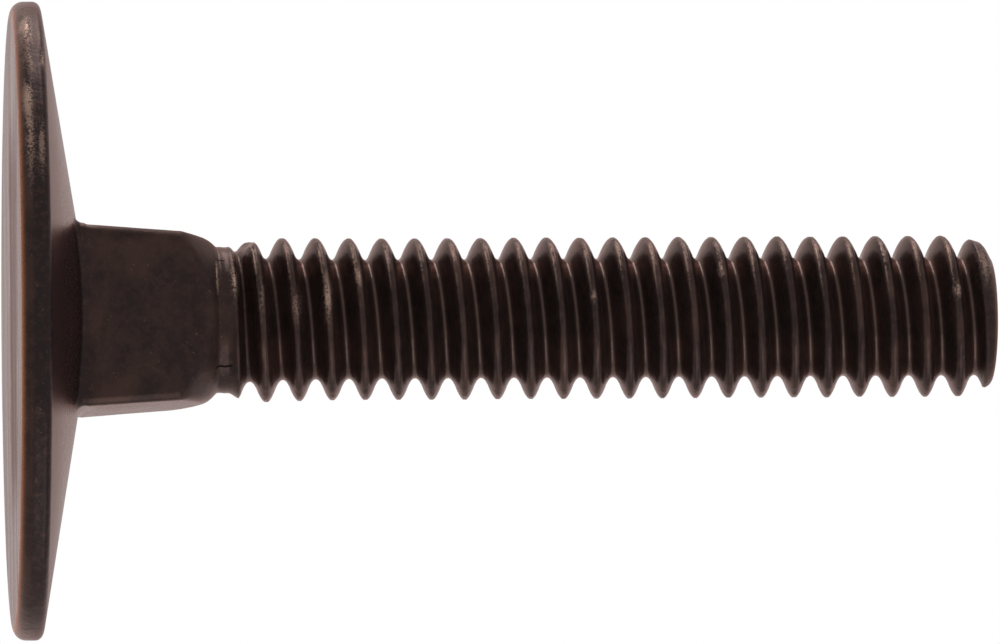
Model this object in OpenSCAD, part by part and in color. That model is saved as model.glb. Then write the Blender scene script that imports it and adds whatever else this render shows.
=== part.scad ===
// Flat-headed elevator bolt, forged and thread-rolled from one length of wire.
// A thin round head with a flat face carries a tapering square neck, a short plain
// shank and a right-hand thread. The origin is the centre of the head's flat face,
// the head rests on Z = 0 and +Z runs along the shank to the tip.

/* [Head] */
// Diameter of the round head
head_d = 24.45; // [20:0.05:30]
// Height of the head's edge, from the flat face to the sloping underside
head_edge_h = 1.07; // [0.95:0.01:2]
// Slope of the underside from the edge up to the neck, in degrees
underside_slope = 9.5; // [5:0.5:14]
// Rounding between the flat face and the edge
face_rounding = 0.54; // [0.2:0.02:0.6]
// Rounding between the edge and the underside
edge_rounding = 0.3; // [0.1:0.05:0.35]

/* [Square neck] */
// Width across the neck's flats where they leave the head
neck_w = 6.9; // [6.6:0.05:7.4]
// Width across the neck's flats where the shoulder begins
neck_end_w = 6.35; // [6.2:0.05:6.6]
// Height above the flat face at which the shoulder begins, at the neck's corners
neck_end_z = 6.5; // [5:0.05:8]
// Rounding of the neck's four long corners
neck_corner = 0.55; // [0.3:0.05:0.9]
// Height of the conical shoulder from the neck's corners down to the shank
neck_shoulder_l = 1.25; // [0.8:0.05:1.5]
// Radius of the fillet between the underside and the neck
neck_fillet = 0.4; // [0.2:0.05:0.6]

/* [Shank and thread] */
// Overall length from the flat face to the tip
bolt_l = 37.75; // [25:0.05:60]
// Diameter of the plain shank between the neck and the thread
shank_d = 5.62; // [5.4:0.02:5.8]
// Outside diameter over the thread's crests
thread_d = 6.2; // [6.1:0.02:6.3]
// Diameter at the bottom of the thread's groove
root_d = 4.58; // [4.5:0.02:4.8]
// Distance from one thread crest to the next, twenty threads to the inch
pitch = 1.27; // [1.2:0.01:1.35]
// Width of the groove's flat bottom
root_flat = 0.18; // [0.12:0.01:0.2]
// Angle between the two flanks of the groove, in degrees
flank_angle = 60; // [55:1:62]
// Plain length between the neck's shoulder and the first sign of the groove
plain_l = 0.13; // [0.1:0.01:3]
// Turns over which the thread grows to its full depth
run_in_turns = 1.2; // [1:0.1:2]
// Diameter of the flat end of the tip
tip_d = 4.9; // [4.7:0.05:5.4]
// Height of the chamfer between the thread and the flat end
tip_chamfer_h = 0.8; // [0.4:0.05:1]
// Rounding of the tip's end edge
tip_rounding = 0.12; // [0.05:0.01:0.2]

/* [Hidden] */
steel_colour = [0.30, 0.26, 0.25];

// Facets of a full circle on turned surfaces, and segments of each rounding arc
round_facets = 96;
arc_steps = 6;
// Straight segments in one turn of the thread
turn_steps = 32;

head_r = head_d / 2;
shank_r = shank_d / 2;
thread_r = thread_d / 2;
root_r = root_d / 2;
flank_run = tan(flank_angle / 2);
// The groove is cut a little beyond the crests, to leave clean crest edges
cutter_margin = thread_r * 0.02;
cutter_r = thread_r + cutter_margin;
// Height of the underside where it meets the middle of a neck flat
neck_base_z = head_edge_h + (head_r - neck_w / 2) * tan(underside_slope);
shoulder_end_z = neck_end_z + neck_shoulder_l;
thread_z = shoulder_end_z + plain_l;
full_thread_z = thread_z + run_in_turns * pitch;
// Depth to which the neck and the shank are sunk into the head
sink = head_edge_h * 0.4;
// Depth to which the fillet's thin edge is sunk, so that it meets the underside cleanly
fillet_sink = neck_fillet * 0.08;
// Distance from the axis to the neck's corners where the shoulder begins, and where the
// fillet meets the head
neck_reach = (neck_end_w / 2 - neck_corner) * sqrt(2) + neck_corner;
flare_reach = (neck_w / 2 - neck_corner) * sqrt(2) + neck_corner + neck_fillet;

// Points of an arc about [cx, cy], from angle a0 to angle a1
function arc(cx, cy, r, a0, a1, steps = arc_steps) =
    [for (i = [0:steps]) let (a = a0 + (a1 - a0) * i / steps) [cx + r * cos(a), cy + r * sin(a)]];

// Height of the sloping underside at radius r
function underside_z(r) = head_edge_h + (head_r - r) * tan(underside_slope);

// Outline of a square with rounded corners, at height z, as 3-D points
function square_ring(half, corner, z) =
    [for (q = [0:3])
        let (c = half - corner)
        for (p = arc(c, c, corner, 0, 90))
            [p[0] * cos(90 * q) - p[1] * sin(90 * q), p[0] * sin(90 * q) + p[1] * cos(90 * q), z]];

// The same outline laid on the sloping underside, and raised from it by a height
function seated_ring(half, corner, height) =
    [for (p = square_ring(half, corner, 0)) [p[0], p[1], underside_z(norm(p)) + height]];

// Faces of a closed skin over rings of points, each ring with n points
function skin_faces(rings, n) = concat(
    [[for (i = [0:n - 1]) i]],
    [for (k = [0:rings - 2], i = [0:n - 1])
        let (j = (i + 1) % n) [k * n + i, (k + 1) * n + i, (k + 1) * n + j]],
    [for (k = [0:rings - 2], i = [0:n - 1])
        let (j = (i + 1) % n) [k * n + i, (k + 1) * n + j, k * n + j]],
    [[for (i = [n - 1:-1:0]) (rings - 1) * n + i]]
);

// Closed solid lofted over a list of rings with the same number of points
module loft(rings) {
    n = len(rings[0]);
    polyhedron(points = [for (r = rings) each r], faces = skin_faces(len(rings), n), convexity = 10);
}

// Round head with its flat face down
module head() {
    face_arc = arc(head_r - face_rounding, face_rounding, face_rounding, -90, 0);
    slope = underside_slope;
    edge_c = underside_z(head_r - edge_rounding) - edge_rounding / cos(slope);
    edge_arc = arc(head_r - edge_rounding, edge_c, edge_rounding, 0, 90 - slope);
    rotate_extrude($fn = round_facets)
        polygon(concat(
            [[0, 0]],
            face_arc,
            edge_arc,
            [[root_r, underside_z(root_r)], [0, underside_z(root_r)]]
        ));
}

// Tapering square with rounded corners, flared into the head by a fillet
module neck_flats() {
    half = neck_w / 2;
    taper = (half - neck_end_w / 2) / (neck_end_z - neck_base_z);
    base_z = underside_z(flare_reach) - sink;
    top_z = shoulder_end_z + sink;
    // The flare follows a quarter circle from the underside up to the flats
    flare = [for (i = [0:arc_steps])
        let (a = 90 * i / arc_steps, out = neck_fillet * (1 - sin(a)))
            seated_ring(half + out, neck_corner + out, neck_fillet * (1 - cos(a)) - fillet_sink)];
    base = square_ring(half + neck_fillet, neck_corner + neck_fillet, base_z);
    top = square_ring(half - taper * (top_z - neck_base_z), neck_corner, top_z);
    loft(concat([base], flare, [top]));
}

// Turned form that bevels the neck's end down into the shank
module neck_bevel() {
    slope = (neck_reach - shank_r) / neck_shoulder_l;
    outer_r = flare_reach + neck_fillet;
    rotate_extrude($fn = round_facets)
        polygon([
            [0, 0],
            [outer_r, 0],
            [outer_r, neck_end_z - (outer_r - neck_reach) / slope],
            [shank_r - sink * slope / 2, shoulder_end_z + sink / 2],
            [0, shoulder_end_z + sink / 2]
        ]);
}

module neck() {
    intersection() {
        neck_flats();
        neck_bevel();
    }
}

// Turned form of the shank before the groove is cut: plain, growing to the crests, chamfered
module shank_blank() {
    tip_r = tip_d / 2;
    // The chamfer's outward direction, and how far its rounding starts inside the flat end
    chamfer_angle = atan2(thread_r - tip_r, tip_chamfer_h);
    rounding_run = tip_rounding * tan((90 - chamfer_angle) / 2);
    rotate_extrude($fn = round_facets)
        polygon(concat(
            [[0, sink], [shank_r, sink], [shank_r, thread_z]],
            [[thread_r, full_thread_z], [thread_r, bolt_l - tip_chamfer_h]],
            arc(tip_r - rounding_run, bolt_l - tip_rounding, tip_rounding, chamfer_angle, 90),
            [[0, bolt_l]]
        ));
}

// Ring of the groove's section at a given turn. Over the run-in it lies further out
function groove_ring(turn) =
    let (
        lift = max(0, 1 - turn / run_in_turns) * (shank_r - root_r + cutter_margin),
        z = thread_z + turn * pitch,
        low = root_flat / 2,
        high = low + (cutter_r - root_r) * flank_run,
        angle = 360 * turn
    )
    [for (p = [[cutter_r, -high], [root_r, -low], [root_r, low], [cutter_r, high]])
        [(p[0] + lift) * cos(angle), (p[0] + lift) * sin(angle), z + p[1]]];

// Helical groove that leaves the thread standing between its turns
module groove() {
    turns = (bolt_l - thread_z) / pitch + 1;
    loft([for (i = [0:ceil(turns * turn_steps)]) groove_ring(i / turn_steps)]);
}

module shank() {
    difference() {
        shank_blank();
        groove();
    }
}

module bolt() {
    color(steel_colour) {
        union() {
            head();
            neck();
            shank();
        }
    }
}

bolt();
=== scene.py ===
"""Flat-headed elevator bolt in dark oxidised steel: one forged and thread-rolled piece.

The bolt stands on its flat head, and Z runs up the shank. Its shape and its wear are worked out
in millimetres. Panel values, the studio and the finished mesh are in metres.
"""

import math

import bpy
import numpy as np
from bpy.props import FloatProperty, FloatVectorProperty, IntProperty, PointerProperty
from mathutils import Matrix, Vector, noise


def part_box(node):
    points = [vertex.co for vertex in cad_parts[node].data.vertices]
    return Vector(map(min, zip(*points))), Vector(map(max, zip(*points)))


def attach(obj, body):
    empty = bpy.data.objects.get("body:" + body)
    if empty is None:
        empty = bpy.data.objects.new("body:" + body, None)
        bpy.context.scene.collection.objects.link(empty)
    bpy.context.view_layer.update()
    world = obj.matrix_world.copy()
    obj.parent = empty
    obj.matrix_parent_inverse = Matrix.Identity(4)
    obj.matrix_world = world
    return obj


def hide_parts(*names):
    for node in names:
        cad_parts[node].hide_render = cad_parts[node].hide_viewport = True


bl_info = {
    "name": "Elevator bolt",
    "version": (1, 0, 0),
    "blender": (4, 5, 0),
    "location": "3D View > Sidebar > Bolt",
    "description": "Builds a flat-headed elevator bolt with its finish and a plain studio",
    "category": "Object",
}

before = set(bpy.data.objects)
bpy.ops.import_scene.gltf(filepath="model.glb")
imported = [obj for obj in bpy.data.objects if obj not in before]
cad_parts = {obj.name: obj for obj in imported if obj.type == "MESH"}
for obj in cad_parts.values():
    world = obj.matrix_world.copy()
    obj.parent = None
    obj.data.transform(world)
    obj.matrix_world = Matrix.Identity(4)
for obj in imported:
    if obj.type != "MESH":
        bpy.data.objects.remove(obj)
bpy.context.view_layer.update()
BOLT_LOW, BOLT_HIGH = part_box("bolt")

BODY = "root"
CAD_NODE = "bolt"
MM = 1000.0

# Lengths from here down to SHOULDER_LEVELS are in millimetres

# How strongly the mesh's columns crowd towards the neck's corners, and over how many turns of
# the thread they even out
CROWDING = 0.6
CROWDED_TURNS = 4

# Steps of the mesh round the face's edge, round the rear edge, along the underside, up the
# neck's fillet and round the edge of the tip's end
FACE_EDGE_STEPS = 10
REAR_EDGE_STEPS = 8
UNDERSIDE_STEPS = 16
FILLET_STEPS = 9
END_STEPS = 6

# Rings of the flat face, as shares of its radius
FACE_SHARES = (0.05, 0.12, 0.2, 0.3, 0.4, 0.5, 0.6, 0.7, 0.78, 0.85, 0.9, 0.93, 0.955, 0.975, 0.99)

# How far the face's outer part rises from flat, and the share of its radius where that starts
FACE_RISE = 0.015
FACE_RISE_START = 0.90

# Heights of the rings up the neck, which lie closer together over the shoulder
NECK_HEIGHTS = (*np.linspace(3.25, 5.6, 9), *np.linspace(5.75, 7.86, 30))

# How far the forged neck sits off the thread's axis, towards +X
NECK_OFFSET = 0.06

# Rounding of the crease between the neck's flats and the turned shoulder
SHOULDER_ROUNDING = 0.30

# Rows of the thread's mesh over one turn, as shares of the pitch measured from a crest
THREAD_ROWS = (
    0.0, 0.035, 0.07, 0.115, 0.17, 0.235, 0.30, 0.37, 0.435,
    0.5, 0.565, 0.63, 0.70, 0.765, 0.83, 0.885, 0.93, 0.965,
)
ROWS = len(THREAD_ROWS)

# How near the thread's slanting rows come to the level rings below and above them, and how far
# up the shank the neck's shoulder is blended into them
CUT_MARGIN = 0.025
BLEND_HEIGHT = 0.4

# Seam that rolling leaves along each crest
SEAM_DEPTH = 0.018
SEAM_WIDTH = 0.025

# How far the groove's section is lifted out, at some turns from the start of the thread
RUN_IN_TURNS = (0.3, 0.45, 0.75, 2.1, 4.5)
RUN_IN_LIFT = (0.62, 0.48, 0.11, 0.03, 0.0)

# Rounded edge of the tip's end: its height, and how far it turns in
END_HEIGHT = 0.15
END_INSET = 0.06

# Rings across the tip's end, as shares of its radius, and how far the end is dished
END_SHARES = (0.95, 0.86, 0.74, 0.6, 0.45, 0.3, 0.15)
END_DIP = 0.05
END_MIDDLE_DIP = 0.055

# Short cracks along the shank: height, polar angle in degrees, half length, half width
CRACKS = [
    (8.03, 313.3, 0.33, 0.042),
    (7.90, 220.8, 0.22, 0.036),
]

# Sides on which the crests are scuffed, the first one also a painted highlight: polar angle and half
# width in degrees, strength
SCUFFED_AND_HIGHLIGHT_SIDES = [
    # Partly a painted highlight, on the side that the upper lamp lights
    (223.0, 24.0, 1.0),
    (86.0, 30.0, 0.8),
]

# Dents and flats left by handling: height, polar angle in degrees, half length along the
# shank, half width round it, depth
DENTS = [
    (9.05, 189.0, 0.26, 0.90, 0.30),
    (9.43, 258.0, 0.12, 0.60, 0.04),
    (10.76, 264.0, 0.20, 0.60, 0.12),
    (11.96, 257.0, 0.20, 0.95, 0.06),
    (13.18, 242.0, 0.14, 0.50, 0.06),
    (22.13, 260.0, 0.12, 0.25, 0.05),
    (27.10, 237.0, 0.14, 0.30, 0.08),
    (36.10, 255.0, 0.10, 0.22, 0.09),
    (37.30, 228.0, 0.16, 0.70, 0.04),
    (4.40, 191.0, 0.22, 0.12, 0.05),
    (1.02, 221.0, 0.16, 0.30, 0.08),
    (14.40, 8.0, 0.20, 0.50, 0.05),
    (22.90, 186.0, 0.16, 0.40, 0.04),
    (31.10, 352.0, 0.18, 0.35, 0.05),
    (19.20, 120.0, 0.20, 0.60, 0.06),
    (25.60, 70.0, 0.22, 0.50, 0.06),
    (33.00, 150.0, 0.20, 0.50, 0.05),
]

# Places worn down to brighter metal, one on the rim also a painted glint: height, polar angle in degrees,
# half length along the shank, half width round it, strength
RUBBED_AND_GLINT_PLACES = [
    (9.43, 258.0, 0.13, 0.75, 0.35),
    (10.79, 264.0, 0.17, 0.55, 0.50),
    (11.96, 257.0, 0.16, 0.85, 0.85),
    (13.18, 242.0, 0.13, 0.45, 0.7),
    (22.13, 258.5, 0.09, 0.24, 0.6),
    (27.10, 238.0, 0.09, 0.45, 0.9),
    (36.14, 255.0, 0.14, 0.28, 0.8),
    (37.32, 230.0, 0.30, 0.80, 0.45),
    (8.44, 241.0, 0.12, 0.75, 0.9),
    (7.79, 238.0, 0.045, 0.70, 1.0),
    # Partly a painted glint, on the rim where it faces the upper lamp
    (0.36, 209.0, 0.26, 1.30, 1.0),
    (0.40, 219.0, 0.22, 1.60, 0.3),
    (0.36, 232.0, 0.16, 1.00, 0.9),
    (0.42, 239.5, 0.14, 1.60, 0.7),
    (0.85, 242.0, 0.12, 1.10, 0.5),
    (1.02, 220.5, 0.08, 0.45, 0.8),
    (20.30, 110.0, 0.20, 0.80, 0.8),
    (29.70, 60.0, 0.25, 0.70, 0.8),
]

# Levels between which marks lie: where each starts, is full, begins to fade and ends
LUMPY_RIM_LEVELS = (0.1, 0.4, 1.0, 1.2)
DULL_RIM_LEVELS = (0.4, 0.8, 1.2, 1.9)
# Band of painted shade over the rim, the underside and the corner at the neck's foot
PAINTED_SHADE_LEVELS = (0.35, 0.55, 2.3, 3.4)
NECK_FOOT_LEVELS = (3.0, 3.3, 3.5, 4.2)
NECK_LEVELS = (2.8, 3.4, 7.7, 8.0)
SHOULDER_LEVELS = (6.0, 6.8, 7.7, 8.0)

# Painted shade inside the cracks, and the reflections' colour from square on and along the skin
PAINTED_CRACK_SHADE = (0.0, 0.0, 0.0)
STEEP_TINT = (0.75, 0.58, 0.545)
GRAZING_TINT = (0.75, 0.37, 0.30)

# Height on the shank at the picture's middle from left to right, and how far below the shank the
# camera looks. Both are in metres, as are the three below
PICTURE_MIDDLE = 0.018791
PICTURE_DROP = 0.00013

# Height that the lamps face and their distance from it, and the floor's gap under the head
BOLT_MIDDLE = 0.019
LAMP_DISTANCE = 0.30
FLOOR_GAP = 0.00001


def smooth_min(a, b, width):
    """Smaller of two arrays, with the crease between them rounded over about a width."""
    share = np.clip(0.5 + 0.5 * (b - a) / width, 0.0, 1.0)
    return b + (a - b) * share - width * share * (1.0 - share)


def smooth_max(a, b, width):
    """Larger of two arrays, with the crease between them rounded over about a width."""
    return -smooth_min(-a, -b, width)


def from_crest(phase):
    """Share of a pitch to the nearest crest, from -0.5 to 0.5."""
    return (phase + 0.5) % 1.0 - 0.5


def grain(points, size, seed):
    """Smooth noise from -1 to 1 at each point, with features of about the given size."""
    shift = Vector((seed * 7.31, seed * 3.17, seed * 5.53))
    return np.array([noise.noise(Vector(p) / size + shift) for p in points])


class BoltSizes(bpy.types.PropertyGroup):
    """Sizes of the bolt."""

    head_radius: FloatProperty(
        name="Head radius", description="Radius of the round head",
        default=(BOLT_HIGH.x - BOLT_LOW.x) / 2, min=0.01, max=0.015, unit="LENGTH", precision=5)
    length: FloatProperty(
        name="Length", description="Overall length from the flat face to the tip",
        default=BOLT_HIGH.z, min=0.025, max=0.06, unit="LENGTH", precision=5)
    edge_height: FloatProperty(
        name="Edge height", description="Height of the head's edge up to the sloping underside",
        default=0.0011, min=0.0008, max=0.002, unit="LENGTH", precision=5)
    underside_slope: FloatProperty(
        name="Underside slope", description="Slope of the underside from the edge to the neck",
        default=math.radians(9.5), min=0.05, max=0.25, subtype="ANGLE")
    face_rounding: FloatProperty(
        name="Face rounding", description="Rounding between the flat face and the edge",
        default=0.0005, min=0.0002, max=0.0006, unit="LENGTH", precision=5)
    edge_rounding: FloatProperty(
        name="Edge rounding", description="Rounding between the edge and the underside",
        default=0.0003, min=0.0001, max=0.00035, unit="LENGTH", precision=5)
    neck_width: FloatProperty(
        name="Neck width", description="Width across the neck's flats at the head",
        default=0.00698, min=0.0066, max=0.0074, unit="LENGTH", precision=5)
    neck_end_width: FloatProperty(
        name="Neck end width", description="Width across the neck's flats at the shoulder",
        default=0.00643, min=0.0062, max=0.0066, unit="LENGTH", precision=5)
    neck_corner: FloatProperty(
        name="Neck corner", description="Rounding of the neck's four long corners",
        default=0.00042, min=0.0003, max=0.0009, unit="LENGTH", precision=5)
    neck_fillet: FloatProperty(
        name="Neck fillet", description="Fillet between the head and the neck",
        default=0.00032, min=0.0002, max=0.0008, unit="LENGTH", precision=5)
    shoulder_start: FloatProperty(
        name="Shoulder start", description="Height at which the shoulder begins at the corners",
        default=0.0065, min=0.005, max=0.008, unit="LENGTH", precision=5)
    shoulder_end: FloatProperty(
        name="Shoulder end", description="Height at which the shoulder meets the shank",
        default=0.00785, min=0.006, max=0.009, unit="LENGTH", precision=5)
    shank_radius: FloatProperty(
        name="Shank radius", description="Radius of the plain shank",
        default=0.0028, min=0.0027, max=0.0029, unit="LENGTH", precision=5)
    crest_radius: FloatProperty(
        name="Crest radius", description="Radius over the thread's crests",
        default=0.00312, min=0.003, max=0.0032, unit="LENGTH", precision=5)
    root_radius: FloatProperty(
        name="Root radius", description="Radius at the bottom of the thread's groove",
        default=0.00228, min=0.0022, max=0.0024, unit="LENGTH", precision=5)
    pitch: FloatProperty(
        name="Pitch", description="Distance from one crest to the next",
        default=0.0012728, min=0.0012, max=0.00135, unit="LENGTH", precision=5)
    tip_radius: FloatProperty(
        name="Tip radius", description="Radius of the flat end of the tip",
        default=0.00248, min=0.0021, max=0.0028, unit="LENGTH", precision=5)
    columns: IntProperty(
        name="Columns", description="Straight segments round the bolt, a multiple of eight",
        default=168, min=64, max=240)


class BoltFinish(bpy.types.PropertyGroup):
    """Colours and roughness of the bolt's dark oxide finish."""

    oxide_colour: FloatVectorProperty(
        name="Oxide", description="Dark brown-black oxide over the whole bolt",
        default=(0.0250, 0.0170, 0.0162), size=3, subtype="COLOR", min=0.0, max=1.0)
    patch_colour: FloatVectorProperty(
        name="Patches", description="Slightly redder oxide in soft patches",
        default=(0.048, 0.0275, 0.0235), size=3, subtype="COLOR", min=0.0, max=1.0)
    streak_colour: FloatVectorProperty(
        name="Streaks", description="Reddish brown streaks across the flat face",
        default=(0.10, 0.035, 0.025), size=3, subtype="COLOR", min=0.0, max=1.0)
    # Painted shade, darker on the rim, the underside and in the corner at the neck's foot
    painted_shade_colour: FloatVectorProperty(
        name="Film", description="Darker film on the rim, the underside and the neck's foot",
        default=(0.021, 0.0150, 0.0150), size=3, subtype="COLOR", min=0.0, max=1.0)
    edge_colour: FloatVectorProperty(
        name="Edge", description="Rusty brown where the face turns up to the rim",
        default=(0.36, 0.13, 0.05), size=3, subtype="COLOR", min=0.0, max=1.0)
    # Worn metal, also the colour of the painted glint on the rim and the painted highlight on the crests
    worn_and_glint_colour: FloatVectorProperty(
        name="Worn metal", description="Brown metal where edges and crests are rubbed",
        default=(0.36, 0.24, 0.19), size=3, subtype="COLOR", min=0.0, max=1.0)
    roughness: FloatProperty(
        name="Roughness", description="Roughness of the oxide on the shank and the neck",
        default=0.25, min=0.1, max=0.8, subtype="FACTOR")
    head_roughness: FloatProperty(
        name="Head roughness", description="Roughness of the oxide on the head", default=0.27,
        min=0.1, max=0.8, subtype="FACTOR")


class StudioSettings(bpy.types.PropertyGroup):
    """The plain studio: floor, lamps and camera."""

    floor_colour: FloatVectorProperty(
        name="Floor", description="Pale floor", default=(0.82, 0.82, 0.82), size=3,
        subtype="COLOR", min=0.0, max=1.0)
    floor_size: FloatProperty(
        name="Floor size", description="Side of the square floor", default=3.0, min=0.5, max=10.0,
        unit="LENGTH")
    ambient: FloatProperty(
        name="Ambient light", description="Strength of the soft light from all round",
        default=0.65, min=0.0, max=1.5)
    upper_power: FloatProperty(
        name="Upper lamp", description="Power of the soft lamp above the bolt in the picture",
        default=1.05, min=0.0, max=10.0, unit="POWER")
    lower_power: FloatProperty(
        name="Lower lamp", description="Power of the soft lamp below the bolt in the picture",
        default=0.56, min=0.0, max=10.0, unit="POWER")
    lens: FloatProperty(
        name="Lens", description="Focal length of the camera on a 36 mm sensor, in millimetres",
        default=334.2, min=50.0, max=500.0)
    distance: FloatProperty(
        name="Distance", description="Distance from the camera to the middle of the shank",
        default=0.35687, min=0.1, max=2.0, unit="LENGTH", precision=5)
    tilt: FloatProperty(
        name="Tilt", description="Angle by which the flat face is turned to the camera",
        default=math.radians(4.903), subtype="ANGLE")
    lean: FloatProperty(
        name="Lean", description="Slope of the shank across the picture",
        default=math.radians(0.308), subtype="ANGLE")
    turn: FloatProperty(
        name="Turn", description="Turn of the neck about the shank, from square to the camera",
        default=math.radians(4.5), subtype="ANGLE")


class BoltShape:
    """The bolt's surface as radii, in millimetres."""

    def __init__(self, sizes):
        self.head_r = sizes.head_radius * MM
        self.length = sizes.length * MM
        self.edge_h = sizes.edge_height * MM
        self.slope = sizes.underside_slope
        self.face_rounding = sizes.face_rounding * MM
        self.edge_rounding = sizes.edge_rounding * MM
        self.neck_half = sizes.neck_width / 2 * MM
        self.neck_end_half = sizes.neck_end_width / 2 * MM
        self.corner = sizes.neck_corner * MM
        self.fillet = sizes.neck_fillet * MM
        self.shoulder_z = sizes.shoulder_start * MM
        self.shank_z = sizes.shoulder_end * MM
        self.shank_r = sizes.shank_radius * MM
        self.crest_r = sizes.crest_radius * MM
        self.root_r = sizes.root_radius * MM
        self.pitch = sizes.pitch * MM
        self.tip_r = sizes.tip_radius * MM
        self.columns = sizes.columns // 8 * 8
        self.face_r = self.head_r - self.face_rounding
        self.thread_end_z = self.length - END_HEIGHT
        self.neck_base_z = self.underside_z(self.neck_half)
        self.neck_reach = (self.neck_end_half - self.corner) * math.sqrt(2) + self.corner

    def underside_z(self, r):
        """Height of the sloping underside at radius r."""
        return self.edge_h + (self.head_r - r) * math.tan(self.slope)

    def angles(self, crowding):
        """Polar angles of the columns, crowded at the neck's corners."""
        even = np.arange(self.columns) * 2 * math.pi / self.columns
        return even + crowding / 4 * np.sin(4 * even)

    def square_radius(self, angle, half, corner):
        """Radius of a square with rounded corners at each polar angle."""
        from_flat = np.abs((angle + math.pi / 4) % (math.pi / 2) - math.pi / 4)
        flat = half / np.cos(from_flat)
        centre = half - corner
        along = centre * (np.cos(from_flat) + np.sin(from_flat))
        across = centre * (np.cos(from_flat) - np.sin(from_flat))
        arc = along + np.sqrt(np.maximum(corner ** 2 - across ** 2, 0.0))
        return np.where(np.tan(from_flat) * half <= centre, flat, arc)

    def neck_radius(self, angle, z):
        """Tapering square neck, bevelled by a turned shoulder."""
        share = (z - self.neck_base_z) / (self.shoulder_z - self.neck_base_z)
        half = self.neck_half + (self.neck_end_half - self.neck_half) * share
        square = self.square_radius(angle, half, self.corner) + NECK_OFFSET * np.cos(angle)
        fall = (self.neck_reach - self.shank_r) / (self.shank_z - self.shoulder_z)
        bevel = self.neck_reach - (z - self.shoulder_z) * fall
        return smooth_min(square, bevel, SHOULDER_ROUNDING)

    def groove_phase(self, angle, z):
        """Share of a pitch from the last crest, and turns from the start of the groove."""
        turns = (z - self.shank_z) / self.pitch
        return turns - angle / (2 * math.pi) + 0.5, turns

    def tip_radius(self, angle, z):
        """The sheared end, turned down in two steps, further on the -X side."""
        left = self.length - z
        side = 1 + np.cos(angle)
        # A steep step at the very end, and a shallow one that leads into the thread
        end = self.tip_r - 0.10 + 0.14 * side + 1.3 * left
        lead = self.crest_r - 0.29 - 0.01 * side + (0.30 + 0.09 * side) * (left - 0.3)
        return smooth_min(end, lead, 0.12)

    def shank_radius(self, angle, z):
        """Plain shank, growing into the full thread, with the tip's two steps."""
        phase, turns = self.groove_phase(angle, z)
        swing = np.cos(2 * math.pi * phase)
        # Close to a cosine, with slightly fuller crests and a slightly wider bottom
        wave = np.where(swing > 0, np.abs(swing) ** 0.9, swing - 0.07 * np.sin(math.pi * np.abs(swing)))
        full = (self.crest_r + self.root_r) / 2 + (self.crest_r - self.root_r) / 2 * wave
        # The rolled crest keeps a shallow seam between its two shoulders
        seam = SEAM_DEPTH * np.exp(-(from_crest(phase) * self.pitch / SEAM_WIDTH) ** 2)
        lift = np.interp(turns, RUN_IN_TURNS, RUN_IN_LIFT)
        # The blank grows from the shank to just past the crests within the first turn
        up = np.clip((turns - 0.3) / 0.7, 0.0, 1.0)
        blank = self.shank_r + (self.crest_r + 0.09 - self.shank_r) * up * up * (3 - 2 * up)
        # Shallow steps left by the start of the rolling die
        steps = 0.010 * np.sin(6 * math.pi * phase) * np.exp(-((turns - 0.3) / 0.35) ** 2)
        start_rounding = 0.10 + 0.14 * np.exp(-((turns - 0.6) / 0.5) ** 2)
        body = smooth_min(full - seam + lift, blank, start_rounding) + steps
        return smooth_min(self.tip_radius(angle, z), body, 0.07)

    def radius(self, angle, z):
        """Neck and shank together."""
        return smooth_max(self.neck_radius(angle, z), self.shank_radius(angle, z), 0.06)


class Skin:
    """Points and faces of one closed surface, gathered from the flat face to the tip."""

    def __init__(self, columns):
        self.columns = columns
        self.points = []
        self.faces = []
        self.count = 0

    def add(self, points):
        """Add points, and give the number of the first one."""
        self.points.append(points)
        self.count += len(points)
        return self.count - len(points)

    def sides(self):
        """Each column with the next one round the bolt."""
        return [(i, (i + 1) % self.columns) for i in range(self.columns)]

    def join(self, starts):
        """Faces between each ring and the next, from the numbers of their first points."""
        for low, high in zip(starts, starts[1:]):
            for i, j in self.sides():
                self.faces.append((low + i, low + j, high + j, high + i))

    def fan(self, point, edge):
        """Faces from one point to each stretch of an edge."""
        for start, end in zip(edge, edge[1:]):
            self.faces.append((point, start, end))


def polar_points(angle, r, z):
    """Points at some polar angles, with one radius and height for all of them or one for each."""
    return np.stack([r * np.cos(angle), r * np.sin(angle), np.full_like(angle, z)], axis=1)


def head_profile(shape):
    """Radius and height along the head's section, from the face's middle to the underside."""
    profile = []
    for share in FACE_SHARES:
        outer = max(0.0, share - FACE_RISE_START) / (1 - FACE_RISE_START)
        profile.append((shape.face_r * share, FACE_RISE * outer ** 2))
    for k in range(FACE_EDGE_STEPS + 1):
        bend = math.radians(-90 + 90 * k / FACE_EDGE_STEPS)
        profile.append((shape.face_r + shape.face_rounding * math.cos(bend),
                        FACE_RISE + shape.face_rounding * (1 + math.sin(bend))))
    edge_r = shape.head_r - shape.edge_rounding
    edge_z = shape.underside_z(edge_r) - shape.edge_rounding / math.cos(shape.slope)
    for share in (0.25, 0.5, 0.75):
        last_z = profile[-1][1]
        profile.append((shape.head_r, last_z + (edge_z - last_z) * share))
    for k in range(REAR_EDGE_STEPS + 1):
        bend = (math.pi / 2 - shape.slope) * k / REAR_EDGE_STEPS
        profile.append((edge_r + shape.edge_rounding * math.cos(bend),
                        edge_z + shape.edge_rounding * math.sin(bend)))
    return profile


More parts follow.
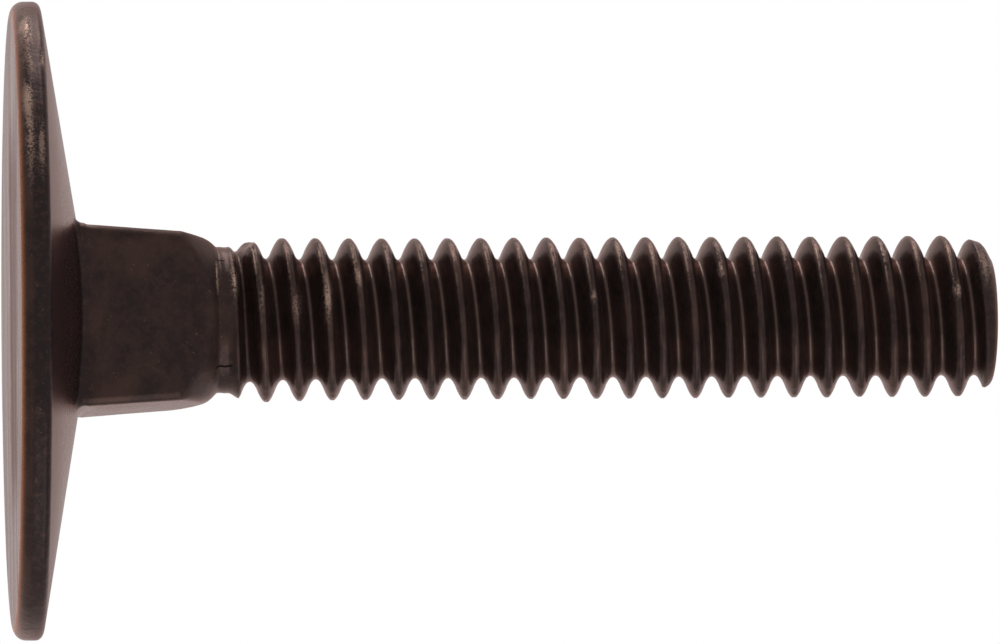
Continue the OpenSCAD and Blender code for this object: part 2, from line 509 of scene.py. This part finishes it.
def head_rings(shape):
    """Rings from the middle of the flat face out, round the edge and in to the neck."""
    profile = head_profile(shape)
    rings = [polar_points(shape.angles(0.0), r, z) for r, z in profile]

    # The underside narrows from the round edge to the square outline of the fillet's foot
    start_r = profile[-1][0]
    for k in range(1, UNDERSIDE_STEPS + 1):
        share = k / UNDERSIDE_STEPS
        angle = shape.angles(CROWDING * share)
        foot = shape.square_radius(angle, shape.neck_half + shape.fillet,
                                   shape.corner + shape.fillet)
        r = start_r + (foot - start_r) * share
        rings.append(polar_points(angle, r, shape.underside_z(r)))
    angle = shape.angles(CROWDING)
    for k in range(1, FILLET_STEPS + 1):
        bend = math.pi / 2 * k / FILLET_STEPS
        out = shape.fillet * (1 - math.sin(bend))
        r = shape.square_radius(angle, shape.neck_half + out, shape.corner + out)
        z = shape.underside_z(r) + shape.fillet * (1 - math.cos(bend))
        rings.append(polar_points(angle, r, z))
    return rings


def neck_rings(shape, last):
    """Rings up the neck, from the fillet to the plain shank. The first few level out."""
    rings = []
    angle = shape.angles(CROWDING)
    low = last[:, 2]
    for k, z in enumerate(NECK_HEIGHTS):
        levelled = min(1.0, (k + 1) / 4)
        z_ring = low + (z - low) * levelled if levelled < 1 else np.full_like(low, z)
        # Each ring stays clear of the one below it
        z_ring = np.maximum(z_ring, low + 0.02 * (k + 1))
        rings.append(polar_points(angle, shape.radius(angle, z_ring), z_ring))
    return rings


def tip_rings(shape):
    """Rings round the tip's rounded edge and in across its dished end."""
    rings = []
    angle = shape.angles(0.0)
    for k in range(END_STEPS + 1):
        bend = math.pi / 2 * k / END_STEPS
        z = shape.thread_end_z + (shape.length - shape.thread_end_z) * math.sin(bend)
        r = shape.shank_radius(angle, np.full_like(angle, z)) - END_INSET * (1 - math.cos(bend))
        rings.append(polar_points(angle, r, z))
    edge = rings[-1]
    for share in END_SHARES:
        ring = edge.copy()
        ring[:, :2] *= share
        ring[:, 2] = shape.length - END_DIP * (1 - share)
        rings.append(ring)
    return rings


class ThreadColumns:
    """Columns of the thread's points, whose rows climb with the helix.

    A level cut at either end leaves a first and a last row in each column. After one full turn,
    a row meets the start of the row one pitch above it.
    """

    def __init__(self, shape, skin, low_z):
        self.columns = shape.columns
        self.numbers = {}
        self.first = []
        self.last = []
        crest_z = shape.shank_z - shape.pitch / 2
        total = int((shape.thread_end_z - crest_z) / shape.pitch + 2) * ROWS
        for i in range(self.columns):
            even = 2 * math.pi * i / self.columns
            kept = []
            for row in range(-ROWS, total):
                crowding = CROWDING * max(0.0, 1 - max(row, 0) / (CROWDED_TURNS * ROWS))
                angle = even + crowding / 4 * math.sin(4 * even)
                turns = angle / (2 * math.pi) + row // ROWS + THREAD_ROWS[row % ROWS]
                z = crest_z + shape.pitch * turns
                if low_z + CUT_MARGIN < z < shape.thread_end_z - CUT_MARGIN:
                    kept.append((row, angle, z))
            rows, angle, z = zip(*kept)
            angle = np.array(angle)
            z = np.array(z)
            r = shape.shank_radius(angle, z)
            r = np.where(z < low_z + BLEND_HEIGHT, shape.radius(angle, z), r)
            start = skin.add(polar_points(angle, r, z))
            self.numbers.update({(i, row): start + k for k, row in enumerate(rows)})
            self.first.append(rows[0])
            self.last.append(rows[-1])
        self.first.append(self.first[0] - ROWS)
        self.last.append(self.last[0] - ROWS)

    def at(self, i, row):
        """Number of the point in a column and a row."""
        if i == self.columns:
            return self.numbers[0, row + ROWS]
        return self.numbers[i, row]

    def run(self, i, rows):
        """Numbers of the points in a column over some rows."""
        return [self.at(i, row) for row in rows]


def join_thread(skin, thread, low_ring, high_ring):
    """Faces of the thread, and fans that close its slanting rows to a level ring at either end."""
    for i, j in skin.sides():
        first, next_first = thread.first[i], thread.first[i + 1]
        rising = thread.run(i + 1, range(next_first, first + 1))
        skin.fan(low_ring + i, [low_ring + j] + rising + [thread.at(i, first)])
        last, next_last = thread.last[i], thread.last[i + 1]
        for row in range(first, next_last):
            skin.faces.append((thread.at(i, row), thread.at(i + 1, row),
                               thread.at(i + 1, row + 1), thread.at(i, row + 1)))
        falling = thread.run(i, range(last, next_last - 1, -1))
        skin.fan(high_ring + j, [high_ring + i] + falling + [thread.at(i + 1, next_last)])


def bolt_skin(shape):
    """All points and faces of the bolt, as one closed surface."""
    skin = Skin(shape.columns)
    rings = head_rings(shape)
    rings += neck_rings(shape, rings[-1])
    face_middle = skin.add(np.array([[0.0, 0.0, 0.0]]))
    starts = [skin.add(ring) for ring in rings]
    for i, j in skin.sides():
        skin.faces.append((face_middle, starts[0] + j, starts[0] + i))
    skin.join(starts)

    thread = ThreadColumns(shape, skin, rings[-1][0, 2])
    tip_starts = [skin.add(ring) for ring in tip_rings(shape)]
    join_thread(skin, thread, starts[-1], tip_starts[0])
    skin.join(tip_starts)
    end_middle = skin.add(np.array([[0.0, 0.0, shape.length - END_MIDDLE_DIP]]))
    for i, j in skin.sides():
        skin.faces.append((tip_starts[-1] + i, tip_starts[-1] + j, end_middle))
    return np.concatenate(skin.points), skin.faces


def near(points, place):
    """Closeness to a place on the shank, one at its middle and falling off round it."""
    z, degrees, half_length, half_width = place
    angle = np.arctan2(points[:, 1], points[:, 0]) - math.radians(degrees)
    angle = (angle + math.pi) % (2 * math.pi) - math.pi
    r = np.hypot(points[:, 0], points[:, 1])
    return np.exp(-((points[:, 2] - z) / half_length) ** 2 - (angle * r / half_width) ** 2)


class Wear:
    """Small irregularities of a forged and handled bolt, and how much each point is worn."""

    def __init__(self, shape, points):
        self.shape = shape
        self.points = points
        self.r = np.hypot(points[:, 0], points[:, 1])
        self.z = points[:, 2]
        self.angle = np.arctan2(points[:, 1], points[:, 0])
        self.threaded = (self.z > shape.shank_z) & (self.z < shape.thread_end_z)
        # Share of the way from the bottom of the groove out to the crests
        self.rise = np.clip((self.r - shape.root_r) / (shape.crest_r - shape.root_r), 0, 1)
        self.crest = np.where(self.threaded, np.clip((self.rise - 0.78) / 0.2, 0, 1), 0.0)
        self.root = np.where(self.threaded, np.clip((0.08 - self.rise) / 0.08, 0, 1), 0.0)

    def moved_points(self):
        """The points, pushed out or in by the forging's unevenness and by the dents."""
        wide = grain(self.points, 2.2, 1)
        fine = grain(self.points, 0.45, 2)
        tiny = grain(self.points, 0.16, 3)
        push = 0.006 * wide + 0.004 * fine
        push += self.crest * (0.016 * fine + 0.012 * tiny - 0.008)
        on_neck = (self.z > 2.6) & (self.z < self.shape.shank_z)
        push += np.where(on_neck, 0.012 * wide + 0.004 * tiny, 0.0)
        # A dent in the thread flattens its crests and leaves the groove alone
        reached = np.where(self.threaded, np.clip((self.rise - 0.3) / 0.5, 0, 1), 1.0)
        for *place, depth in DENTS:
            push -= depth * near(self.points, place) * reached
        # The face, the end and the head's outline keep their places
        keep = np.clip((self.z - 0.15) / 0.35, 0, 1) * (self.z < self.shape.length - 0.05)
        limit = np.where(self.z < 1.5, self.shape.head_r, np.inf)
        r = np.minimum(self.r + push * keep, limit)
        moved = polar_points(self.angle, r, self.z)
        moved[0, :2] = 0.0
        moved[-1, :2] = 0.0
        return moved

    def rubbed_and_glint(self):
        """How far each point is worn down to brighter metal, with a painted glint on the rim and a
        painted highlight on the lit crests.
        """
        # The scuffs lie along each crest's shoulder on the head's side; on the lit side they are partly a
        # painted highlight
        phase, _ = self.shape.groove_phase(self.angle, self.z)
        crest_line = self.crest * np.exp(-((from_crest(phase) + 0.075) / 0.032) ** 2)
        rubbed_and_glint = np.zeros(len(self.points))
        for degrees, half_width, strength in SCUFFED_AND_HIGHLIGHT_SIDES:
            aside = (np.degrees(self.angle) - degrees + 180.0) % 360.0 - 180.0
            rubbed_and_glint = np.maximum(rubbed_and_glint, strength * crest_line * np.exp(-(aside / half_width) ** 2))
        for *place, strength in RUBBED_AND_GLINT_PLACES:
            rubbed_and_glint = np.maximum(rubbed_and_glint, strength * near(self.points, place))
        return rubbed_and_glint

    def edge(self):
        """How far each point lies on the rusty line round the face, or on the tip's edge."""
        climb = np.maximum(self.z - FACE_RISE, 0.0)
        face_edge = np.exp(-((self.r - self.shape.face_r - 0.14) / 0.25) ** 2 - (climb / 0.12) ** 2)
        tip_edge = 0.2 * np.exp(-((self.z - self.shape.length + 0.05) / 0.06) ** 2)
        return np.maximum(face_edge, tip_edge * (self.r > self.shape.tip_r - 0.35))

    def marks(self):
        """What the finish reads at each point, by name."""
        return {"crest": self.crest, "root": self.root, "rubbed_and_glint": self.rubbed_and_glint(), "edge": self.edge()}


class ShaderTree:
    """Short way to add and link shader nodes in one tree."""

    def __init__(self, node_tree):
        self.node_tree = node_tree
        node_tree.nodes.clear()

    def add(self, kind, **values):
        """New node of a kind, with its settings."""
        node = self.node_tree.nodes.new(kind)
        for key, value in values.items():
            setattr(node, key, value)
        return node

    def put(self, target, value):
        """Link a socket to a target, or write a plain value into it."""
        if isinstance(value, bpy.types.NodeSocket):
            self.node_tree.links.new(value, target)
        else:
            target.default_value = value

    def feed(self, node, **values):
        """Fill a node's inputs by name, with underscores for spaces."""
        for key, value in values.items():
            self.put(node.inputs[key.replace("_", " ")], value)

    def maths(self, operation, a, b=0.0, clamp=False):
        """Result of one operation on two values."""
        node = self.add("ShaderNodeMath", operation=operation, use_clamp=clamp)
        self.put(node.inputs[0], a)
        self.put(node.inputs[1], b)
        return node.outputs[0]

    def plus(self, a, b, clamp=False):
        """Sum of two values."""
        return self.maths("ADD", a, b, clamp)

    def minus(self, a, b):
        """First value less the second."""
        return self.maths("SUBTRACT", a, b)

    def times(self, a, b):
        """Product of two values."""
        return self.maths("MULTIPLY", a, b)

    def larger(self, a, b, clamp=False):
        """Larger of two values."""
        return self.maths("MAXIMUM", a, b, clamp)

    def absolute(self, value):
        """A value without its sign."""
        return self.maths("ABSOLUTE", value)

    def mix(self, kind, factor, a, b):
        """Mix of two numbers (FLOAT) or two colours (RGBA)."""
        node = self.add("ShaderNodeMix", data_type=kind)
        targets = {target.name: target for target in node.inputs if target.enabled}
        self.put(targets["Factor"], factor)
        self.put(targets["A"], a)
        self.put(targets["B"], b)
        return [output for output in node.outputs if output.enabled][0]

    def choose(self, factor, first, second):
        """First shader where the factor is zero, and second where it is one."""
        node = self.add("ShaderNodeMixShader")
        for target, value in zip(node.inputs, (factor, first, second)):
            self.put(target, value)
        return node.outputs[0]

    def ramp(self, value, low, high):
        """Zero below low and one above high, with a smooth step between."""
        node = self.add("ShaderNodeMapRange", interpolation_type="SMOOTHSTEP")
        self.feed(node, Value=value, From_Min=low, From_Max=high)
        return node.outputs[0]

    def fall(self, value, low, high):
        """One below low and zero above high, with a smooth step between."""
        return self.minus(1.0, self.ramp(value, low, high))

    def band(self, value, start, full, fading, end):
        """One from full to fading, and zero outside start and end."""
        return self.minus(self.ramp(value, start, full), self.ramp(value, fading, end))

    def noise(self, vector, scale, detail, rough):
        """Noise from zero to one, with a number of features in a unit of length."""
        node = self.add("ShaderNodeTexNoise")
        self.feed(node, Vector=vector, Scale=scale, Detail=detail, Roughness=rough)
        return node.outputs["Fac"]

    def stretch(self, vector, scale):
        """A place, with each coordinate multiplied by its own scale."""
        node = self.add("ShaderNodeMapping", vector_type="POINT")
        self.feed(node, Vector=vector, Scale=scale)
        return node.outputs[0]

    def reach(self, vector, direction):
        """How far a place lies in one direction."""
        node = self.add("ShaderNodeVectorMath", operation="DOT_PRODUCT")
        self.put(node.inputs[0], vector)
        self.put(node.inputs[1], direction)
        return node.outputs["Value"]

    def attribute(self, name):
        """Value that the mesh carries at each point, from zero to one."""
        return self.add("ShaderNodeAttribute", attribute_name=name).outputs["Fac"]


def with_alpha(colour):
    """Colour of four numbers from one of three."""
    return (*colour, 1.0)


class OxideFinish:
    """Parts of the oxide's node tree: where its marks lie, and what they do to the surface.

    Lengths are in millimetres. Level is the height above the flat face.
    """

    def __init__(self, tree, finish):
        self.tree = tree
        self.finish = finish
        coords = tree.add("ShaderNodeTexCoord").outputs["Object"]
        self.mm = tree.stretch(coords, (MM, MM, MM))
        place = tree.add("ShaderNodeSeparateXYZ")
        tree.put(place.inputs[0], self.mm)
        self.x, self.y, self.level = place.outputs
        self.soft = tree.noise(self.mm, 0.55, 4.0, 0.6)
        self.mottled = tree.noise(self.mm, 3.2, 5.0, 0.65)
        self.specks = tree.noise(self.mm, 11.0, 3.0, 0.6)
        # Smears lie round the bolt, and streaks run one way across its face
        self.smears = tree.noise(tree.stretch(coords, (MM * 0.9, MM * 0.9, MM * 3.2)), 1.0, 4.0, 0.6)
        self.streaks = tree.noise(tree.stretch(coords, (MM * 0.04, MM * 0.42, MM * 0.04)), 1.0, 6.0, 0.72)
        self.on_face = tree.fall(self.level, 0.03, 0.14)
        self.mark_face()
        self.mark_wear()
        self.cracked = self.cracks()

    def mark_face(self):
        """Find the face's streaks, and the duller band across its middle with a rusty edge."""
        tree = self.tree
        wander = tree.times(tree.minus(self.soft, 0.5), 4.0)
        across = tree.plus(self.y, wander)
        middle = tree.fall(tree.absolute(self.x), 5.0, 8.5)
        dull = tree.band(across, -8.0, -5.5, 0.6, 1.4)
        self.dull = tree.times(tree.times(dull, middle), self.on_face)
        rusty = tree.band(across, -0.5, 0.4, 1.0, 1.8)
        rusty = tree.times(tree.times(rusty, middle), self.on_face)
        streak = tree.times(self.on_face, tree.ramp(self.streaks, 0.50, 0.66))
        self.streak = tree.larger(streak, rusty)

    def mark_wear(self):
        """Find where the oxide is worn through, with the painted glint and highlight, in blotches, and
        all that is worn.
        """
        tree = self.tree
        rubbed_and_glint = tree.attribute("rubbed_and_glint")
        blotches = tree.plus(tree.times(self.smears, 0.45), tree.times(self.specks, 0.55))
        blotches = tree.plus(blotches, tree.times(rubbed_and_glint, 0.10))
        # Worn places in blotches, partly the painted glint and highlight
        self.rub_and_glint = tree.times(rubbed_and_glint, tree.ramp(blotches, 0.47, 0.60))
        crest = tree.times(tree.attribute("crest"), tree.ramp(self.smears, 0.45, 0.75))
        root = tree.times(tree.attribute("root"), 0.09)
        worn = tree.larger(self.rub_and_glint, tree.larger(tree.times(crest, 0.06), root))
        fleck = tree.times(tree.ramp(self.specks, 0.66, 0.74), 0.25)
        self.worn = tree.larger(worn, fleck, clamp=True)

    def cracks(self):
        """One inside the short cracks and zero outside them."""
        tree = self.tree
        mask = 0.0
        for height, degrees, half_length, half_width in CRACKS:
            polar = math.radians(degrees)
            aside = tree.reach(self.mm, (-math.sin(polar), math.cos(polar), 0.0))
            outward = tree.reach(self.mm, (math.cos(polar), math.sin(polar), 0.0))
            # The crack wanders a little from a straight line
            wander = tree.times(tree.maths("SINE", tree.times(self.level, 13.0)), half_width * 0.4)
            off = tree.absolute(tree.plus(aside, wander))
            near_line = tree.fall(off, half_width * 0.5, half_width * 1.4)
            along = tree.absolute(tree.minus(self.level, height))
            near_middle = tree.fall(along, half_length * 0.7, half_length)
            this_side = tree.maths("GREATER_THAN", outward, 1.0)
            mask = tree.larger(mask, tree.times(tree.times(near_line, near_middle), this_side))
        return mask

    def colour(self):
        """Oxide in soft patches, with streaks, smears, rust and painted shade, and the worn metal, partly
        a painted glint and highlight.
        """
        tree = self.tree
        finish = self.finish
        spots = tree.times(tree.ramp(self.mottled, 0.42, 0.66), 0.55)
        smears = tree.times(tree.ramp(self.smears, 0.35, 0.6), 0.6)
        by_neck_foot = tree.times(tree.band(self.level, *NECK_FOOT_LEVELS), smears)
        # Painted shade on the rim, the underside and in the corner at the neck's foot, broken by mottling
        painted_shade = tree.times(tree.band(self.level, *PAINTED_SHADE_LEVELS), tree.fall(self.mottled, 0.45, 0.75))
        rust = tree.times(tree.attribute("edge"), tree.ramp(self.mottled, 0.10, 0.50))
        layers = [
            (tree.ramp(self.soft, 0.42, 0.68), finish.patch_colour),
            (self.streak, finish.streak_colour),
            (spots, finish.patch_colour),
            (by_neck_foot, finish.patch_colour),
            (painted_shade, finish.painted_shade_colour),
            (rust, finish.edge_colour),
            (self.worn, finish.worn_and_glint_colour),
            # Painted shade: black inside the cracks
            (self.cracked, PAINTED_CRACK_SHADE),
        ]
        colour = with_alpha(finish.oxide_colour)
        for cover, layer_colour in layers:
            colour = tree.mix("RGBA", cover, colour, with_alpha(layer_colour))
        return colour

    def roughness(self):
        """Roughness, more on the rim, the shoulder and the neck's -X side, and less where worn."""
        tree = self.tree
        rim = tree.band(self.level, *DULL_RIM_LEVELS)
        neck = tree.band(self.level, *NECK_LEVELS)
        shoulder = tree.times(tree.band(self.level, *SHOULDER_LEVELS), tree.fall(self.x, 1.0, 2.4))
        duller = tree.larger(shoulder, tree.times(neck, tree.fall(self.x, -3.1, -2.6)))
        uneven = tree.minus(tree.plus(self.streaks, tree.times(self.specks, 0.5)), 0.75)
        changes = [
            (duller, 0.20),
            (neck, 0.03),
            (rim, 0.05),
            (tree.attribute("root"), -0.12),
            (tree.minus(self.mottled, 0.5), 0.10),
            (tree.times(self.on_face, uneven), 0.45),
            (self.rub_and_glint, -0.09),
        ]
        past_head = tree.ramp(self.level, 2.4, 3.0)
        roughness = tree.mix("FLOAT", past_head, self.finish.head_roughness, self.finish.roughness)
        for cover, change in changes:
            roughness = tree.plus(roughness, tree.times(cover, change))
        return tree.plus(roughness, tree.times(self.dull, 0.10), clamp=True)

    def tint(self):
        """Colour of the reflections, which is redder where the surface is seen along its skin."""
        tree = self.tree
        facing = tree.add("ShaderNodeLayerWeight")
        facing.inputs["Blend"].default_value = 0.5
        along_skin = tree.ramp(facing.outputs["Facing"], 0.66, 0.92)
        return tree.mix("RGBA", along_skin, with_alpha(STEEP_TINT), with_alpha(GRAZING_TINT))

    def bump(self):
        """Lumps on the rim, a rough end, raised worn places and sunken cracks."""
        tree = self.tree
        rough_end = tree.plus(tree.times(tree.ramp(self.level, 36.95, 37.3), 2.0), 0.3)
        on_rim = tree.band(self.level, *LUMPY_RIM_LEVELS)
        lumps = tree.times(tree.noise(self.mm, 1.3, 3.0, 0.5), tree.times(on_rim, 3.0))
        height = tree.plus(tree.times(self.mottled, 0.6), tree.times(self.specks, rough_end))
        height = tree.plus(height, tree.plus(lumps, self.rub_and_glint))
        height = tree.minus(height, tree.times(self.cracked, 2.0))
        bump = tree.add("ShaderNodeBump")
        tree.feed(bump, Height=height, Strength=0.55, Distance=0.00003)
        return bump.outputs[0]


def oxide_material(finish):
    """Dark brown-black oxide on steel, worn brown on edges and crests."""
    material = bpy.data.materials.new("dark oxide steel")
    material.use_nodes = True
    tree = ShaderTree(material.node_tree)
    oxide = OxideFinish(tree, finish)
    out = tree.add("ShaderNodeOutputMaterial")
    steel = tree.add("ShaderNodeBsdfPrincipled")
    tree.feed(steel, Base_Color=oxide.colour(), Roughness=oxide.roughness(),
              Specular_Tint=oxide.tint(), Normal=oxide.bump())
    steel.inputs["Metallic"].default_value = 0.52
    steel.inputs["Specular IOR Level"].default_value = 0.08
    tree.put(out.inputs["Surface"], steel.outputs[0])
    return material


def floor_material(settings):
    """Pale floor that keeps shadows, is clear from below and mirrors as plain white."""
    material = bpy.data.materials.new("pale floor")
    material.use_nodes = True
    tree = ShaderTree(material.node_tree)
    out = tree.add("ShaderNodeOutputMaterial")
    floor = tree.add("ShaderNodeBsdfPrincipled")
    tree.feed(floor, Base_Color=with_alpha(settings.floor_colour), Roughness=0.9)
    floor.inputs["Specular IOR Level"].default_value = 0.0
    white = tree.add("ShaderNodeEmission")
    clear = tree.add("ShaderNodeBsdfTransparent")
    light = tree.add("ShaderNodeLightPath")
    mirrored = tree.larger(light.outputs["Is Glossy Ray"], light.outputs["Is Transmission Ray"])
    from_above = tree.choose(mirrored, floor.outputs[0], white.outputs[0])
    from_below = tree.add("ShaderNodeNewGeometry").outputs["Backfacing"]
    tree.put(out.inputs["Surface"], tree.choose(from_below, from_above, clear.outputs[0]))
    return material


def studio_world(settings):
    """White all round for the camera and for reflections, softer for the light itself."""
    world = bpy.data.worlds.new("studio")
    bpy.context.scene.world = world
    world.use_nodes = True
    tree = ShaderTree(world.node_tree)
    out = tree.add("ShaderNodeOutputWorld")
    light = tree.add("ShaderNodeLightPath")
    seen = tree.larger(light.outputs["Is Glossy Ray"], light.outputs["Is Transmission Ray"])
    seen = tree.larger(seen, light.outputs["Is Camera Ray"])
    sky = tree.add("ShaderNodeBackground")
    tree.feed(sky, Color=(1.0, 1.0, 1.0, 1.0), Strength=tree.mix("FLOAT", seen, settings.ambient, 1.0))
    tree.put(out.inputs["Surface"], sky.outputs[0])


def picture_axes(settings):
    """Picture right, picture up and view direction, as directions in the bolt's frame."""
    tilt, lean, turn = settings.tilt, settings.lean, settings.turn
    axis = Vector((math.cos(tilt) * math.cos(lean), math.cos(tilt) * math.sin(lean), math.sin(tilt)))
    up = (Vector((0, 1, 0)) - axis.y * axis).normalized()
    side = axis.cross(up)
    if side.z > 0:
        side = -side
    along, across = math.cos(-turn), math.sin(-turn)
    to_bolt = Matrix((-(along * up) - across * side, across * up - along * side, axis))
    return to_bolt @ Vector((1, 0, 0)), to_bolt @ Vector((0, 1, 0)), to_bolt @ Vector((0, 0, 1))


def add_camera(settings):
    """Camera of the main picture, with the bolt lying level across it."""
    right, up, forward = picture_axes(settings)
    camera = bpy.data.cameras.new("camera")
    camera.lens = settings.lens
    camera.sensor_width = 36.0
    camera.clip_start = 0.01
    camera.clip_end = 20.0
    rig = bpy.data.objects.new("camera", camera)
    place = Vector((0, 0, PICTURE_MIDDLE)) - PICTURE_DROP * up - settings.distance * forward
    turned = Matrix((right, up, -forward)).transposed().to_4x4()
    rig.matrix_world = Matrix.Translation(place) @ turned
    bpy.context.scene.collection.objects.link(rig)
    bpy.context.scene.camera = rig


def add_lamp(name, direction, side, power):
    """Square soft lamp that faces the middle of the bolt from one direction."""
    lamp = bpy.data.lights.new(name, "AREA")
    lamp.shape = "SQUARE"
    lamp.size = side
    lamp.energy = power
    thing = bpy.data.objects.new(name, lamp)
    direction = direction.normalized()
    place = Vector((0, 0, BOLT_MIDDLE)) + direction * LAMP_DISTANCE
    thing.matrix_world = (Matrix.Translation(place)
                          @ direction.to_track_quat("Z", "Y").to_matrix().to_4x4())
    thing.visible_camera = False
    bpy.context.scene.collection.objects.link(thing)


def add_floor(settings):
    """Square floor just under the bolt's flat face."""
    half = settings.floor_size / 2
    level = BOLT_LOW.z - FLOOR_GAP
    mesh = bpy.data.meshes.new("floor")
    corners = [(-half, -half, level), (half, -half, level), (half, half, level), (-half, half, level)]
    mesh.from_pydata(corners, [], [(0, 1, 2, 3)])
    mesh.materials.append(floor_material(settings))
    floor = bpy.data.objects.new("floor", mesh)
    bpy.context.scene.collection.objects.link(floor)


class BOLT_OT_piece(bpy.types.Operator):
    """Build the bolt: round flat head, square neck and rolled thread, in one piece."""

    bl_idname = "bolt.piece"
    bl_label = "Bolt"
    bl_options = {"REGISTER", "UNDO"}

    def execute(self, context):
        shape = BoltShape(context.scene.bolt_sizes)
        points, faces = bolt_skin(shape)
        wear = Wear(shape, points)
        mesh = bpy.data.meshes.new("elevator_bolt")
        mesh.from_pydata((wear.moved_points() / MM).tolist(), [], faces)
        if mesh.validate():
            raise RuntimeError("the bolt's mesh had faulty faces")
        for name, values in wear.marks().items():
            layer = mesh.attributes.new(name, "FLOAT", "POINT")
            layer.data.foreach_set("value", values.astype(np.float32))
        mesh.shade_smooth()
        bolt = bpy.data.objects.new("elevator_bolt", mesh)
        context.scene.collection.objects.link(bolt)
        mesh.materials.append(oxide_material(context.scene.bolt_finish))
        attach(bolt, BODY)
        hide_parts(CAD_NODE)
        return {"FINISHED"}


class BOLT_OT_studio(bpy.types.Operator):
    """Build the plain studio: pale floor, soft lamps, white surroundings and the camera."""

    bl_idname = "bolt.studio"
    bl_label = "Studio"
    bl_options = {"REGISTER", "UNDO"}

    def execute(self, context):
        settings = context.scene.bolt_studio
        add_floor(settings)
        studio_world(settings)
        right, up, forward = picture_axes(settings)
        add_lamp("upper lamp", up + 0.42 * forward - 0.15 * right, 0.25, settings.upper_power)
        add_lamp("lower lamp", -up - 0.45 * forward, 0.32, settings.lower_power)
        add_camera(settings)
        context.scene.view_settings.view_transform = "Standard"
        return {"FINISHED"}


class BOLT_PT_panel(bpy.types.Panel):
    """Sizes, finish and studio of the bolt, with the buttons that build them."""

    bl_label = "Elevator bolt"
    bl_idname = "BOLT_PT_panel"
    bl_space_type = "VIEW_3D"
    bl_region_type = "UI"
    bl_category = "Bolt"

    def draw(self, context):
        layout = self.layout
        layout.use_property_split = True
        for title, group in (("Sizes", context.scene.bolt_sizes),
                             ("Finish", context.scene.bolt_finish),
                             ("Studio", context.scene.bolt_studio)):
            box = layout.box()
            box.label(text=title)
            for name in group.__annotations__:
                box.prop(group, name)
        layout.operator(BOLT_OT_piece.bl_idname)
        layout.operator(BOLT_OT_studio.bl_idname)


CLASSES = (BoltSizes, BoltFinish, StudioSettings, BOLT_OT_piece, BOLT_OT_studio, BOLT_PT_panel)


def register():
    """Register the classes, and hang the settings on the scene."""
    for cls in CLASSES:
        bpy.utils.register_class(cls)
    bpy.types.Scene.bolt_sizes = PointerProperty(type=BoltSizes)
    bpy.types.Scene.bolt_finish = PointerProperty(type=BoltFinish)
    bpy.types.Scene.bolt_studio = PointerProperty(type=StudioSettings)


def unregister():
    """Take the settings off the scene, and the classes out of Blender."""
    del bpy.types.Scene.bolt_studio
    del bpy.types.Scene.bolt_finish
    del bpy.types.Scene.bolt_sizes
    for cls in reversed(CLASSES):
        bpy.utils.unregister_class(cls)


def main():
    """Build everything."""
    register()
    bpy.ops.bolt.piece()
    bpy.ops.bolt.studio()


if __name__ == "__main__":
    main()
